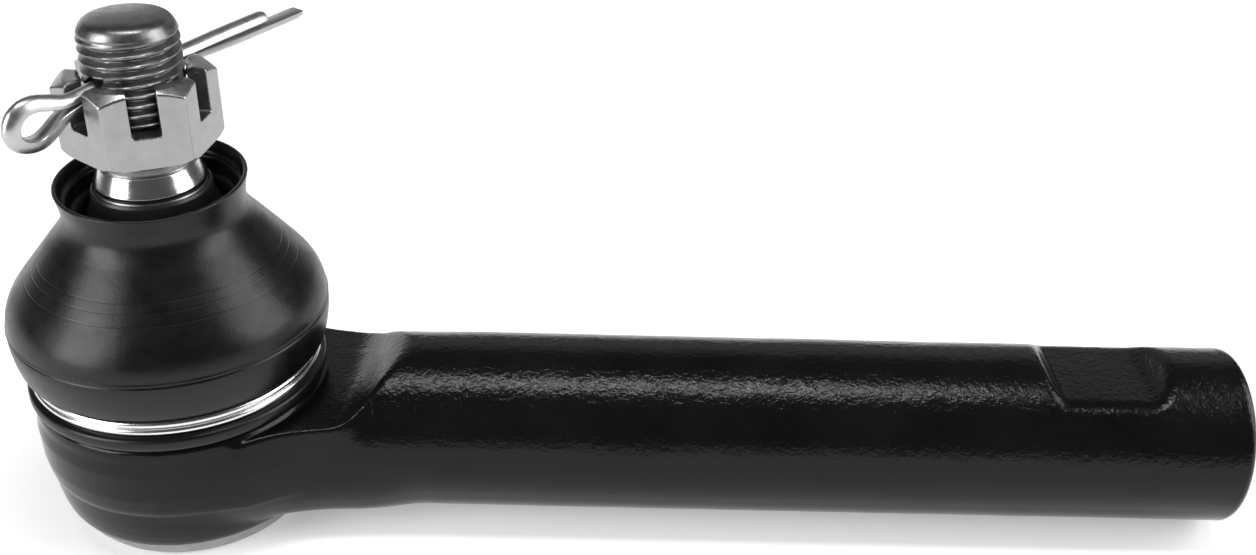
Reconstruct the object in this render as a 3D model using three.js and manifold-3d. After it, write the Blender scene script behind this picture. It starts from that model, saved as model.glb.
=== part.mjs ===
// Outer tie rod end: forged body with a ball-joint head, ball stud, seats, preload
// spring, closing plate, dust boot with its wire clip, castle nut and split pin.
// Millimetres, +Z up along the ball stud, +X along the threaded shank.
// Origin: centre of the closing plate's flat underside, on the stud's axis.
import * as THREE from 'three';
import { mergeVertices } from 'three/addons/utils/BufferGeometryUtils.js';
import Module from 'manifold-3d';

// ---- driving dimensions -------------------------------------------------
const GAP = 0.3;                 // working gap between touching pieces
const SHANK_R = 12.0;            // round forged shank, diameter 24
const SHANK_Z = 12.4;            // height of the shank's axis
const SHANK_END = 144.0;         // stud axis to shank end face
const SHANK_CHAMFER = 1.4;
const BORE_R = 7.25;             // M16 x 1.5 female thread, at its crest
const BORE_DEPTH = 62.0;
const BORE_MOUTH_R = 8.2;        // countersink at the mouth
const FLAT_H = 9.5;              // wrench flats, 19 across
const FLAT_X0 = 118.4, FLAT_X1 = 131.4;
const FLAT_RAMP = 2.0;
const NECK_FLAT_Z = 18.7;        // flat pad on the neck behind the boot
const NECK_FLAT_X = 24.6;        // where the pad ends and ramps up to the shank
const NECK_RAMP = 5.0;
const NECK_END = 40.0;
const HEAD_R = 19.1;
const HEAD_BOTTOM = 2.9;
const BOSS_R = 18.85;            // turned boss under the boot's lower lip
const BOSS_TOP = 19.4;
const GROOVE_R = 16.0;           // groove that the boot's bead grips
const FLANGE_R = 17.0;
const HEAD_TOP = 26.0;
const CAVITY_R = 13.3;
const CAVITY_TOP = 21.3;
const BALL_R = 10.0;
const BALL_Z = 16.0;
const SEAT_R = 10.25;
const SEAT_OUT = 13.0;
const NECK_R = 5.5;              // ball stud's waist
const TAPER_TOP_R = 7.0, TAPER_TOP_Z = 48.0;
const TAPER_LOW_R = 7.85, TAPER_LOW_Z = 34.0;   // 1:8 taper
const RELIEF_R = 5.35;
const THREAD_R = 6.0;            // M12 x 1.25
const STUD_TOP = 70.2;
const NUT_AF = 17.0, NUT_Z0 = 53.45, NUT_Z1 = 63.2;
const NUT_TURN = 22.76;          // degrees, first corner from +X
const NUT_BORE = 6.3;
const SLOT_W = 3.4, SLOT_Z = 57.5;
const PIN_Z = 62.2, PIN_HOLE_R = 1.6, PIN_R = 1.3;
const PIN_LONG = 25.6, PIN_SHORT = 20.2;
const CLIP_R = 18.375, CLIP_WIRE = 0.525;
const SEG = 32;

// ---- helpers ------------------------------------------------------------
const wasm = await Module();
wasm.setup();

function toSolid(geometry) {
  let g = geometry.index ? geometry.toNonIndexed() : geometry.clone();
  g.deleteAttribute('normal');
  g.deleteAttribute('uv');
  g = mergeVertices(g, 1e-4);
  const p = g.attributes.position, idx = g.index.array, tri = [];
  let vol = 0;
  const a = new THREE.Vector3(), b = new THREE.Vector3(), c = new THREE.Vector3();
  for (let i = 0; i < idx.length; i += 3) {
    const [u, v, w] = [idx[i], idx[i + 1], idx[i + 2]];
    if (u === v || v === w || u === w) continue;      // collapsed pole triangles
    a.fromBufferAttribute(p, u); b.fromBufferAttribute(p, v); c.fromBufferAttribute(p, w);
    vol += a.dot(b.clone().cross(c)) / 6;
    tri.push(u, v, w);
  }
  if (vol < 0) for (let i = 0; i < tri.length; i += 3) [tri[i + 1], tri[i + 2]] = [tri[i + 2], tri[i + 1]];
  return new wasm.Manifold(new wasm.Mesh({
    numProp: 3, vertProperties: new Float32Array(p.array), triVerts: new Uint32Array(tri),
  }));
}

function toGeometry(solid) {
  const m = solid.getMesh();
  const pos = new Float32Array(m.numVert * 3);
  for (let i = 0; i < m.numVert; i++)
    for (let k = 0; k < 3; k++) pos[3 * i + k] = m.vertProperties[i * m.numProp + k];
  const g = new THREE.BufferGeometry();
  g.setAttribute('position', new THREE.BufferAttribute(pos, 3));
  g.setIndex(new THREE.BufferAttribute(new Uint32Array(m.triVerts), 1));
  g.computeVertexNormals();
  return g;
}

// Solid of revolution about Z from [radius, z] points.
function revolve(points, seg = SEG) {
  const g = new THREE.LatheGeometry(points.map(([r, z]) => new THREE.Vector2(r, z)), seg);
  g.rotateX(Math.PI / 2);
  return toSolid(g);
}

// Prism from [x, z] points, centred on y = 0.
function prismXZ(points, width) {
  const s = new THREE.Shape(points.map(([x, z]) => new THREE.Vector2(x, z)));
  const g = new THREE.ExtrudeGeometry(s, { depth: width, bevelEnabled: false, steps: 1 });
  g.rotateX(Math.PI / 2);            // shape's Y becomes Z, depth runs along -Y
  g.translate(0, width / 2, 0);
  return toSolid(g);
}

function arc(cr, cz, r, a0, a1, n) {
  const out = [];
  for (let i = 0; i <= n; i++) {
    const a = THREE.MathUtils.degToRad(a0 + (a1 - a0) * i / n);
    out.push([cr + r * Math.cos(a), cz + r * Math.sin(a)]);
  }
  return out;
}

// Closed loft through rings of equal point count.
function loft(rings) {
  const n = rings[0].length, pos = [], idx = [];
  for (const ring of rings) for (const q of ring) pos.push(...q);
  for (let k = 0; k < rings.length - 1; k++)
    for (let i = 0; i < n; i++) {
      const j = (i + 1) % n, a = k * n + i, b = k * n + j, c = a + n, d = b + n;
      idx.push(a, b, d, a, d, c);
    }
  const cap = (k, flip) => {
    const c = pos.length / 3, m = [0, 0, 0];
    for (const q of rings[k]) for (let t = 0; t < 3; t++) m[t] += q[t] / n;
    pos.push(...m);
    for (let i = 0; i < n; i++) {
      const j = (i + 1) % n;
      if (flip) idx.push(c, k * n + j, k * n + i); else idx.push(c, k * n + i, k * n + j);
    }
  };
  cap(0, true); cap(rings.length - 1, false);
  const g = new THREE.BufferGeometry();
  g.setAttribute('position', new THREE.BufferAttribute(new Float32Array(pos), 3));
  g.setIndex(idx);
  return toSolid(g);
}

const root = new THREE.Group();
function add(name, solid, color, roughness, metalness) {
  const mesh = new THREE.Mesh(toGeometry(solid),
    new THREE.MeshStandardMaterial({ color, roughness, metalness }));
  mesh.name = name;
  root.add(mesh);
}

// ---- forged body --------------------------------------------------------
const head = revolve([
  [0, HEAD_BOTTOM], [16.7, HEAD_BOTTOM], [17.2, 3.2], [17.75, 4.4], [18.1, 6.6], [18.5, 9.4],
  [18.8, 10.1], [HEAD_R, 11.6], [HEAD_R, 15.6], [BOSS_R, 17.4], [BOSS_R, 19.1], [18.55, BOSS_TOP],
  [GROOVE_R, BOSS_TOP], [GROOVE_R, 24.9], [FLANGE_R, 24.9], [FLANGE_R, 25.7], [16.7, HEAD_TOP], [0, HEAD_TOP],
], 40);

const shank = (() => {
  const g = new THREE.LatheGeometry([
    [0, 8], [SHANK_R, 8], [SHANK_R, SHANK_END - SHANK_CHAMFER],
    [SHANK_R - 0.5, SHANK_END - 0.45], [SHANK_R - SHANK_CHAMFER, SHANK_END], [0, SHANK_END],
  ].map(([r, x]) => new THREE.Vector2(r, x)), 40);
  g.rotateZ(-Math.PI / 2);           // lathe axis Y becomes +X
  g.translate(0, 0, SHANK_Z);
  return toSolid(g);
})();

// The neck flares in plan out to the head, and its section squares up from round:
// upright sides under the pad's edges, softer corners below.
const neck = (() => {
  const rings = [];
  for (const x of [4, 12, 14, 16, 18.5, 21, 23, 25, 27, 31, 35, NECK_END]) {
    const t = Math.min(1, Math.max(0, (NECK_END - x) / (NECK_END - 12)));
    const w = SHANK_R - 0.02 + 3.6 * t ** 5;
    const h = SHANK_R - 0.02 - 0.55 * t;
    const ease = (q) => { const u = Math.min(1, Math.max(0, q)); return u * u * (3 - 2 * u); };
    const above = 2.0 * ease((27 - x) / 7), below = 0.65 * ease((34 - x) / 10);
    const ring = [];
    for (let i = 0; i < 36; i++) {
      const a = 2 * Math.PI * (i + 0.5) / 36, c = Math.cos(a), d = Math.sin(a);
      const e = 2 / (2 + (d > 0 ? above : below));
      ring.push([x, w * Math.sign(c) * Math.abs(c) ** e, SHANK_Z + h * Math.sign(d) * Math.abs(d) ** e]);
    }
    rings.push(ring);
  }
  return loft(rings);
})();

// Flat pad on the neck, clear of the turned boss, ramping up to the shank.
const padCut = prismXZ([
  [8, NECK_FLAT_Z], [NECK_FLAT_X, NECK_FLAT_Z], [NECK_FLAT_X + 1.2, NECK_FLAT_Z + 0.7],
  [NECK_FLAT_X + 3.6, SHANK_Z + SHANK_R - 0.9], [NECK_FLAT_X + NECK_RAMP + 1.4, SHANK_Z + SHANK_R + 0.1],
  [NECK_FLAT_X + NECK_RAMP + 1.4, 30], [8, 30],
], 60).subtract(revolve([[0, 10], [BOSS_R + 0.45, 10], [BOSS_R + 0.2, 40], [0, 40]], 48));

const flatProfile = (s) => [
  [FLAT_X0, SHANK_Z + s * FLAT_H], [FLAT_X1, SHANK_Z + s * FLAT_H],
  [FLAT_X1 + FLAT_RAMP * 1.35, SHANK_Z + s * (SHANK_R + 0.3)],
  [FLAT_X0 - FLAT_RAMP, SHANK_Z + s * (SHANK_R + 0.3)],
];
const bore = (() => {
  const e = SHANK_END;
  const g = new THREE.LatheGeometry([
    [0, e - BORE_DEPTH - 4], [BORE_R, e - BORE_DEPTH], [BORE_R, e - 1.2], [BORE_MOUTH_R, e - 0.2],
    [BORE_MOUTH_R + 0.6, e + 1], [0, e + 1],
  ].map(([r, x]) => new THREE.Vector2(r, x)), 24);
  g.rotateZ(-Math.PI / 2);
  g.translate(0, 0, SHANK_Z);
  return toSolid(g);
})();

// Ball cavity, open below for assembly and above for the stud's swing.
const cavity = revolve([
  [0, 1], [CAVITY_R, 1], [CAVITY_R, CAVITY_TOP], [8.95, CAVITY_TOP], [11.8, HEAD_TOP], [12.0, 30], [0, 30],
]);

// The neck's underside stops short of the closing plate.
const plateSeat = revolve([[0, -2], [16.95, -2], [16.95, HEAD_BOTTOM], [0, HEAD_BOTTOM]], 48);

// Turned clearance round the boot: the neck and shank stop at the boss's top face.
const bootClearance = revolve([[0, BOSS_TOP], [20.6, BOSS_TOP], [20.9, 40], [0, 40]], 48);

const body = head.add(neck.add(shank).subtract(bootClearance))
  .subtract(padCut)
  .subtract(prismXZ(flatProfile(1), 40))
  .subtract(prismXZ(flatProfile(-1), 40))
  .subtract(bore)
  .subtract(plateSeat)
  .subtract(cavity);
add('forged_body', body, 0x16171a, 0.42, 0.35);

// ---- closing plate, spring and seats ------------------------------------
add('closing_plate', revolve([
  [0, 0], [14.7, 0], [15.3, 0.2], [16.35, 1.6], [16.6, 2.6], [SEAT_OUT, 2.6], [SEAT_OUT, 3.7],
  [12.2, 3.7], [12.2, 2.0], [0, 2.0],
]), 0x6f7275, 0.45, 0.8);

add('preload_spring', revolve([
  [5.2, 3.45], [5.2, 4.05], [11.7, 2.95], [11.7, 2.3], [5.2, 3.45],
]), 0x5b5e63, 0.4, 0.9);

add('lower_ball_seat', revolve([
  [0, BALL_Z - SEAT_R], ...arc(0, BALL_Z, SEAT_R, -82, -1.2, 8),
  [SEAT_OUT, BALL_Z - 0.2], [SEAT_OUT, 8.4], [9.4, 4.4], [0, 4.4],
]), 0xd8d2c0, 0.5, 0.0);

add('upper_ball_seat', revolve([
  ...arc(0, BALL_Z, SEAT_R, 1.2, 30.2, 4), [SEAT_OUT, BALL_Z + 5.0], [SEAT_OUT, BALL_Z + 0.2],
  [SEAT_R * Math.cos(1.2 * Math.PI / 180), BALL_Z + SEAT_R * Math.sin(1.2 * Math.PI / 180)],
]), 0xd8d2c0, 0.5, 0.0);

// ---- ball stud ----------------------------------------------------------
const psi = THREE.MathUtils.degToRad(NUT_TURN + 30);        // split pin's direction
const crossBar = (r, s0, s1, z, seg = 16) => {
  const g = new THREE.CylinderGeometry(r, r, s1 - s0, seg);
  g.rotateZ(-Math.PI / 2);
  g.translate((s0 + s1) / 2, 0, 0);
  g.rotateZ(psi);
  g.translate(0, 0, z);
  return toSolid(g);
};
const neckAngle = 90 - THREE.MathUtils.radToDeg(Math.asin(NECK_R / BALL_R));
const stud = revolve([
  [0, BALL_Z - 9.6], ...arc(0, BALL_Z, BALL_R, -73.74, neckAngle, 12),
  [NECK_R, 29.4], [6.2, 31.6], [TAPER_LOW_R, TAPER_LOW_Z], [TAPER_TOP_R, TAPER_TOP_Z],
  [6.25, 50.4], [RELIEF_R, 50.9], [RELIEF_R, 52.2], [THREAD_R, 52.9], [THREAD_R, 67.7],
  [5.6, 69.0], [4.6, 69.85], [2.6, 70.1], [0, STUD_TOP],
]).subtract(crossBar(PIN_HOLE_R, -9, 9, PIN_Z));
add('ball_stud', stud, 0x8b8d8f, 0.35, 0.9);

// ---- castle nut ---------------------------------------------------------
const rc = NUT_AF / Math.sqrt(3);
const hex = (() => {
  const s = new THREE.Shape();
  for (let i = 0; i < 6; i++) {
    const a = THREE.MathUtils.degToRad(NUT_TURN + 60 * i);
    if (i) s.lineTo(rc * Math.cos(a), rc * Math.sin(a)); else s.moveTo(rc * Math.cos(a), rc * Math.sin(a));
  }
  s.closePath();
  const g = new THREE.ExtrudeGeometry(s, { depth: NUT_Z1 - NUT_Z0, bevelEnabled: false, steps: 1 });
  g.translate(0, 0, NUT_Z0);
  return toSolid(g);
})();
const chamfer = revolve([
  [0, NUT_Z0], [9.15, NUT_Z0], [rc + 0.1, NUT_Z0 + 0.55], [rc + 0.1, NUT_Z1 - 1.05], [8.15, NUT_Z1], [0, NUT_Z1],
]);
let nut = hex.intersect(chamfer).subtract(revolve([[0, 50], [NUT_BORE, 50], [NUT_BORE, 70], [0, 70]], 32));
for (let i = 0; i < 3; i++) {
  const g = new THREE.BoxGeometry(30, SLOT_W, 12);
  g.translate(0, 0, SLOT_Z + 6);
  g.rotateZ(psi + i * Math.PI / 3);
  nut = nut.subtract(toSolid(g));
}
add('castle_nut', nut, 0xb9bcc0, 0.3, 0.9);

// ---- split pin ----------------------------------------------------------
// Two half-round legs of unequal length, doubled into an eye that hangs below.
const pinRod = crossBar(PIN_R, -7.6, PIN_LONG, PIN_Z, 12);
const tipCut = (() => {
  const g = new THREE.BoxGeometry(12, 6, 3);
  g.translate(PIN_SHORT + 6, 0, 1.5);
  g.rotateZ(psi);
  g.translate(0, 0, PIN_Z);
  return toSolid(g);
})();
const eye = (() => {
  // Flat band, centred on the pin's axis plane, swept round the eye in steps.
  const path = [[-5.6, 0.62], [-9.0, 0.95], [-12.4, 1.35], [-14.6, 1.15], [-16.3, 0.2], [-17.15, -1.4], [-16.7, -3.0],
    [-15.2, -3.9], [-13.3, -3.5], [-11.0, -2.2], [-8.6, -1.0], [-5.6, -0.62]];
  const half = 0.62, wide = 1.2, n = path.length;
  const rings = path.map(([s, z], i) => {
    const [s0, z0] = path[Math.max(0, i - 1)], [s1, z1] = path[Math.min(n - 1, i + 1)];
    const l = Math.hypot(s1 - s0, z1 - z0), ns = -(z1 - z0) / l, nz = (s1 - s0) / l;
    const q = (u, v) => {
      const ss = s + ns * u, x = ss * Math.cos(psi) - v * Math.sin(psi), y = ss * Math.sin(psi) + v * Math.cos(psi);
      return [x, y, PIN_Z + z + nz * u];
    };
    return [q(half, -wide + 0.35), q(half, wide - 0.35), q(half - 0.35, wide), q(-half + 0.35, wide),
      q(-half, wide - 0.35), q(-half, -wide + 0.35), q(-half + 0.35, -wide), q(half - 0.35, -wide)];
  });
  return loft(rings);
})();
add('cotter_pin', pinRod.subtract(tipCut).add(eye), 0xc6c8ca, 0.28, 0.9);

// ---- dust boot, its neck ring and its wire clip --------------------------
add('dust_boot', revolve([
  [16.3, 19.75], [19.25, 19.75], [19.5, 20.4], [19.45, 21.5], [17.55, 21.8], [17.55, 24.5], [19.6, 24.75],
  [20.0, 25.6], [20.35, 27.4], [20.55, 30.0], [20.3, 32.1], [19.55, 33.7], [18.5, 35.2], [15.25, 39.2],
  [12.75, 42.2], [11.7, 43.7], [11.35, 44.9], [11.5, 46.6], [11.85, 48.4], [11.4, 48.75], [10.7, 48.3],
  [10.2, 45.6], [9.7, 44.4], [8.95, 44.2], [8.95, 42.2], [10.4, 41.4], [13.6, 38.0], [16.9, 34.2],
  [18.2, 31.8], [18.45, 29.2], [18.1, 27.2], [17.35, 26.4], [17.35, 24.75], [16.3, 24.4], [16.3, 19.75],
]), 0x2c2d2f, 0.6, 0.0);

add('boot_neck_ring', revolve([
  [7.7, 41.9], [8.65, 41.9], [8.65, 47.3], [8.3, 47.8], [7.7, 47.8], [7.7, 41.9],
], 32), 0x1d1e20, 0.55, 0.0);

const clipTurn = (z) => revolve(arc(CLIP_R, z, CLIP_WIRE, 0, 360, 8), 32);
add('boot_clip_ring', clipTurn(22.42).add(clipTurn(23.39)), 0xd0d2d4, 0.22, 0.95);

export default root;
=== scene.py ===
"""Outer tie rod end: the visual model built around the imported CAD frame.

Lengths in the tables below are millimetres in the row frame: origin under the closing plate
on the stud's axis, +X along the threaded shank, +Z up the stud. Meshes are written in metres.
"""
import math

import bpy
import numpy as np
from mathutils import Matrix, Vector


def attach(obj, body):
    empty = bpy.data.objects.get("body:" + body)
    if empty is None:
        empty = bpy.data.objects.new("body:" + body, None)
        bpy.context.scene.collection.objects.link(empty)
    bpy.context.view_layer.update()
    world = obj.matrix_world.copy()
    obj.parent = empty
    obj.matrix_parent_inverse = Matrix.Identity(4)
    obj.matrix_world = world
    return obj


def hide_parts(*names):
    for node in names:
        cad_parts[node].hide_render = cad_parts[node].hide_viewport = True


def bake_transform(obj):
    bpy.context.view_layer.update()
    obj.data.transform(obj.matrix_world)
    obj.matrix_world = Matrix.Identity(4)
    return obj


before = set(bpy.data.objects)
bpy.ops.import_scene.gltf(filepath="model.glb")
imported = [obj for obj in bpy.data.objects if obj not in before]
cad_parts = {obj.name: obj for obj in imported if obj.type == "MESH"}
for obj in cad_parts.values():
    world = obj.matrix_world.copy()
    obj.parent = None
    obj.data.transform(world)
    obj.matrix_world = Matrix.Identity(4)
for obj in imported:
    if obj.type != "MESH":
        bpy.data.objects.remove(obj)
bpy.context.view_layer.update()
MM = 0.001
rng = np.random.RandomState(11)

# ---------------------------------------------------------------- main sizes
SHANK_R, SHANK_Z, SHANK_END, END_ROUND = 12.0, 12.4, 144.0, 1.3
FLAT_H, FLAT_X0, FLAT_X1 = 9.5, 118.4, 131.4
PAD_Z, PAD_X = 18.7, 24.6
BALL_R, BALL_Z = 10.0, 16.0
PSI = math.radians(52.76)            # split pin and one pair of nut slots
PIN_Z = 62.2
NUT_AF, NUT_Z0, NUT_Z1 = 17.0, 53.45, 63.2


# ---------------------------------------------------------------- mesh helpers
def mesh_object(name, verts, faces, mats, sharp=35.0, mat_index=None):
    """Closed mesh from millimetre vertices; faces is an (n, 3 or 4) array or a list of lists."""
    me = bpy.data.meshes.new(name)
    verts = np.asarray(verts, float) * MM
    if isinstance(faces, np.ndarray):
        n, k = faces.shape
        me.vertices.add(len(verts))
        me.vertices.foreach_set("co", verts.astype(np.float32).ravel())
        me.loops.add(n * k)
        me.loops.foreach_set("vertex_index", faces.astype(np.int32).ravel())
        me.polygons.add(n)
        me.polygons.foreach_set("loop_start", np.arange(0, n * k, k, dtype=np.int32))
        me.update(calc_edges=True)
        me.validate()
    else:
        me.from_pydata([tuple(v) for v in verts], [], [list(map(int, f)) for f in faces])
        me.validate()
    me.shade_smooth()
    if sharp is not None:
        me.set_sharp_from_angle(angle=math.radians(sharp))
    for m in (mats if isinstance(mats, (list, tuple)) else [mats]):
        me.materials.append(m)
    if mat_index is not None:
        me.polygons.foreach_set("material_index", np.asarray(mat_index, np.int32))
    ob = bpy.data.objects.new(name, me)
    bpy.context.scene.collection.objects.link(ob)
    return ob


def refine(points, step):
    """Subdivides a closed polyline of [r, z] so no piece is longer than step. Corners stay."""
    out = []
    n = len(points)
    for i in range(n):
        a, b = np.array(points[i][:2], float), np.array(points[(i + 1) % n][:2], float)
        k = max(1, int(math.ceil(np.linalg.norm(b - a) / step)))
        for j in range(k):
            out.append(a + (b - a) * j / k)
    return np.array(out)


def fillet(points, default=0.15, seg=4):
    """Rounds the corners of a closed polyline of [r, z, radius]; points on the axis stay sharp."""
    n, out = len(points), []
    for i in range(n):
        p = np.array(points[i][:2], float)
        rad = points[i][2] if len(points[i]) > 2 else default
        a, b = np.array(points[i - 1][:2], float), np.array(points[(i + 1) % n][:2], float)
        if rad <= 0 or p[0] <= 1e-6:
            out.append(p)
            continue
        da, db = a - p, b - p
        la, lb = np.linalg.norm(da), np.linalg.norm(db)
        da, db = da / la, db / lb
        cosv = float(np.clip(da @ db, -1, 1))
        ang = math.acos(cosv)
        if ang > math.radians(176):
            out.append(p)
            continue
        cut = min(rad / math.tan(ang / 2), 0.45 * la, 0.45 * lb)
        r = cut * math.tan(ang / 2)
        bis = (da + db) / np.linalg.norm(da + db)
        c = p + bis * (r / math.sin(ang / 2))
        s, e = p + da * cut - c, p + db * cut - c
        a0 = math.atan2(s[1], s[0])
        a1 = math.atan2(e[1], e[0])
        d = (a1 - a0 + math.pi) % (2 * math.pi) - math.pi
        for j in range(seg + 1):
            t = a0 + d * j / seg
            out.append(c + r * np.array([math.cos(t), math.sin(t)]))
    return [tuple(q) for q in out]


def catmull(points, step=0.4):
    """Open smooth curve through [r, z] points, resampled about every step."""
    p = np.array(points, float)
    p = np.vstack([2 * p[0] - p[1], p, 2 * p[-1] - p[-2]])
    out = []
    for i in range(1, len(p) - 2):
        p0, p1, p2, p3 = p[i - 1], p[i], p[i + 1], p[i + 2]
        t0 = 0.0
        t1 = t0 + np.linalg.norm(p1 - p0) ** 0.5
        t2 = t1 + np.linalg.norm(p2 - p1) ** 0.5
        t3 = t2 + np.linalg.norm(p3 - p2) ** 0.5
        n = max(1, int(math.ceil(np.linalg.norm(p2 - p1) / step)))
        for j in range(n):
            t = t1 + (t2 - t1) * j / n
            a1 = (t1 - t) / (t1 - t0) * p0 + (t - t0) / (t1 - t0) * p1
            a2 = (t2 - t) / (t2 - t1) * p1 + (t - t1) / (t2 - t1) * p2
            a3 = (t3 - t) / (t3 - t2) * p2 + (t - t2) / (t3 - t2) * p3
            b1 = (t2 - t) / (t2 - t0) * a1 + (t - t0) / (t2 - t0) * a2
            b2 = (t3 - t) / (t3 - t1) * a2 + (t - t1) / (t3 - t1) * a3
            out.append((t2 - t) / (t2 - t1) * b1 + (t - t1) / (t2 - t1) * b2)
    out.append(np.array(points[-1], float))
    return [tuple(q) for q in out]


def lathe(profile, seg=160, radius=None, axis_turn=0.0):
    """Solid of revolution. profile: closed list of [r, z], or open with both ends on the axis.
    radius(r, z, phi) may change the radius point by point. Returns verts, list of faces."""
    prof = np.asarray([q[:2] for q in profile], float)
    on_axis = prof[:, 0] < 1e-6
    phi = axis_turn + 2 * np.pi * np.arange(seg) / seg
    verts, start = [], []
    for i, (r, z) in enumerate(prof):
        start.append(len(verts))
        if on_axis[i]:
            verts.append((0.0, 0.0, z))
        else:
            rr = np.full(seg, r) if radius is None else radius(r, z, phi)
            verts.extend(zip(rr * np.cos(phi), rr * np.sin(phi), np.full(seg, z)))
    faces = []
    n = len(prof)
    area = 0.0
    for i in range(n):
        j = (i + 1) % n
        area += prof[i, 0] * prof[j, 1] - prof[j, 0] * prof[i, 1]
    flip = area < 0
    for i in range(n):
        j = (i + 1) % n
        if on_axis[i] and on_axis[j]:
            continue
        a, b = start[i], start[j]
        for k in range(seg):
            m = (k + 1) % seg
            if on_axis[i]:
                f = [a, b + m, b + k] if flip else [a, b + k, b + m]
                f = f[::-1]
            elif on_axis[j]:
                f = [a + k, a + m, b] if not flip else [a + m, a + k, b]
            else:
                f = [a + k, a + m, b + m, b + k] if not flip else [a + k, b + k, b + m, a + m]
            faces.append(f)
    v = np.array(verts)
    return v, faces


def outward(ob):
    """Makes the faces of a closed mesh point out."""
    import bmesh
    bm = bmesh.new()
    bm.from_mesh(ob.data)
    bmesh.ops.recalc_face_normals(bm, faces=bm.faces)
    if bm.calc_volume(signed=True) < 0:
        bmesh.ops.reverse_faces(bm, faces=bm.faces)
    bm.to_mesh(ob.data)
    bm.free()
    return ob


def lathe_object(name, profile, mat, seg=160, radius=None, sharp=35.0, turn=0.0):
    v, f = lathe(profile, seg, radius, turn)
    return outward(mesh_object(name, v, f, mat, sharp))


def sweep(name, path, sections, mat, closed=False, sharp=40.0):
    """Joins equal-length rings, one per path step, and caps the ends."""
    n = len(sections[0])
    verts = np.concatenate(sections)
    faces = []
    k = len(sections)
    for i in range(k if closed else k - 1):
        a, b = i * n, ((i + 1) % k) * n
        for j in range(n):
            m = (j + 1) % n
            faces.append([a + j, a + m, b + m, b + j])
    if not closed:
        faces.append(list(range(n))[::-1])
        faces.append([(k - 1) * n + j for j in range(n)])
    return outward(mesh_object(name, verts, faces, mat, sharp))


# ---------------------------------------------------------------- distance fields
def smin(a, b, k):
    h = np.clip(0.5 + 0.5 * (b - a) / k, 0.0, 1.0)
    return b + (a - b) * h - k * h * (1.0 - h)


def smax(a, b, k):
    return -smin(-a, -b, k)


def poly_sdf(pr, pz, poly):
    """Signed distance to a closed polygon, negative inside."""
    poly = np.asarray(poly, np.float32)
    d = np.full(pr.shape, 1e9, np.float32)
    s = np.ones(pr.shape, np.float32)
    n = len(poly)
    for i in range(n):
        (ax, az), (bx, bz) = poly[i], poly[i - 1]
        ex, ez = bx - ax, bz - az
        wx, wz = pr - ax, pz - az
        t = np.clip((wx * ex + wz * ez) / (ex * ex + ez * ez), 0.0, 1.0)
        d = np.minimum(d, (wx - ex * t) ** 2 + (wz - ez * t) ** 2)
        c1, c2 = pz >= az, pz < bz
        c3 = (ex * wz) > (ez * wx)
        flip = (c1 & c2 & c3) | (~c1 & ~c2 & ~c3)
        s = np.where(flip, -s, s)
    return s * np.sqrt(d)


def surface_nets(F, X, Y, Z):
    """Quads on the zero level of F, sampled on a rectilinear grid."""
    ins = F < 0
    cnt = np.zeros(tuple(k - 1 for k in F.shape), np.uint8)
    for dx in (0, 1):
        for dy in (0, 1):
            for dz in (0, 1):
                cnt += ins[dx:ins.shape[0] - 1 + dx, dy:ins.shape[1] - 1 + dy, dz:ins.shape[2] - 1 + dz]
    mixed = (cnt > 0) & (cnt < 8)
    idx = np.full(cnt.shape, -1, np.int32)
    ci = np.argwhere(mixed)
    idx[mixed] = np.arange(len(ci), dtype=np.int32)
    acc, num = np.zeros((len(ci), 3)), np.zeros(len(ci))
    G = (X, Y, Z)
    corners = [(a, b, c) for a in (0, 1) for b in (0, 1) for c in (0, 1)]
    for ca in corners:
        for ax in range(3):
            if ca[ax]:
                continue
            cb = list(ca)
            cb[ax] = 1
            ia, ib = ci + np.array(ca), ci + np.array(cb)
            fa = F[ia[:, 0], ia[:, 1], ia[:, 2]]
            fb = F[ib[:, 0], ib[:, 1], ib[:, 2]]
            cr = (fa < 0) != (fb < 0)
            t = fa[cr] / (fa[cr] - fb[cr])
            pa = np.stack([G[k][ia[cr, k]] for k in range(3)], 1)
            pb = np.stack([G[k][ib[cr, k]] for k in range(3)], 1)
            acc[cr] += pa + (pb - pa) * t[:, None]
            num[cr] += 1
    V = acc / num[:, None]
    quads = []
    for ax in range(3):
        u, w = (ax + 1) % 3, (ax + 2) % 3
        sl0, sl1 = [slice(None)] * 3, [slice(None)] * 3
        sl0[ax], sl1[ax] = slice(0, -1), slice(1, None)
        a, b = ins[tuple(sl0)], ins[tuple(sl1)]
        e = np.argwhere(a != b)
        e = e[(e[:, u] > 0) & (e[:, w] > 0) & (e[:, u] < F.shape[u] - 1) & (e[:, w] < F.shape[w] - 1)]
        q = []
        for du, dw in ((-1, -1), (0, -1), (0, 0), (-1, 0)):
            c = e.copy()
            c[:, u] += du
            c[:, w] += dw
            q.append(idx[c[:, 0], c[:, 1], c[:, 2]])
        q = np.stack(q, 1)
        neg = ~a[e[:, 0], e[:, 1], e[:, 2]]
        q[neg] = q[neg][:, ::-1]
        quads.append(q)
    return V, np.concatenate(quads)


def gradient(f, V, e=0.02):
    g = np.empty_like(V)
    for k in range(3):
        d = np.zeros(3)
        d[k] = e
        g[:, k] = (f(V + d) - f(V - d)) / (2 * e)
    return g


def settle(f, V, rounds=3, limit=0.25):
    """Moves the vertices onto the field's zero level."""
    for _ in range(rounds):
        g = gradient(f, V)
        s = f(V)[:, None] * g / np.maximum((g * g).sum(1), 1e-6)[:, None]
        V = V - np.clip(s, -limit, limit)
    return V


_lat = np.random.RandomState(5).rand(48, 48, 48).astype(np.float32)


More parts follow.
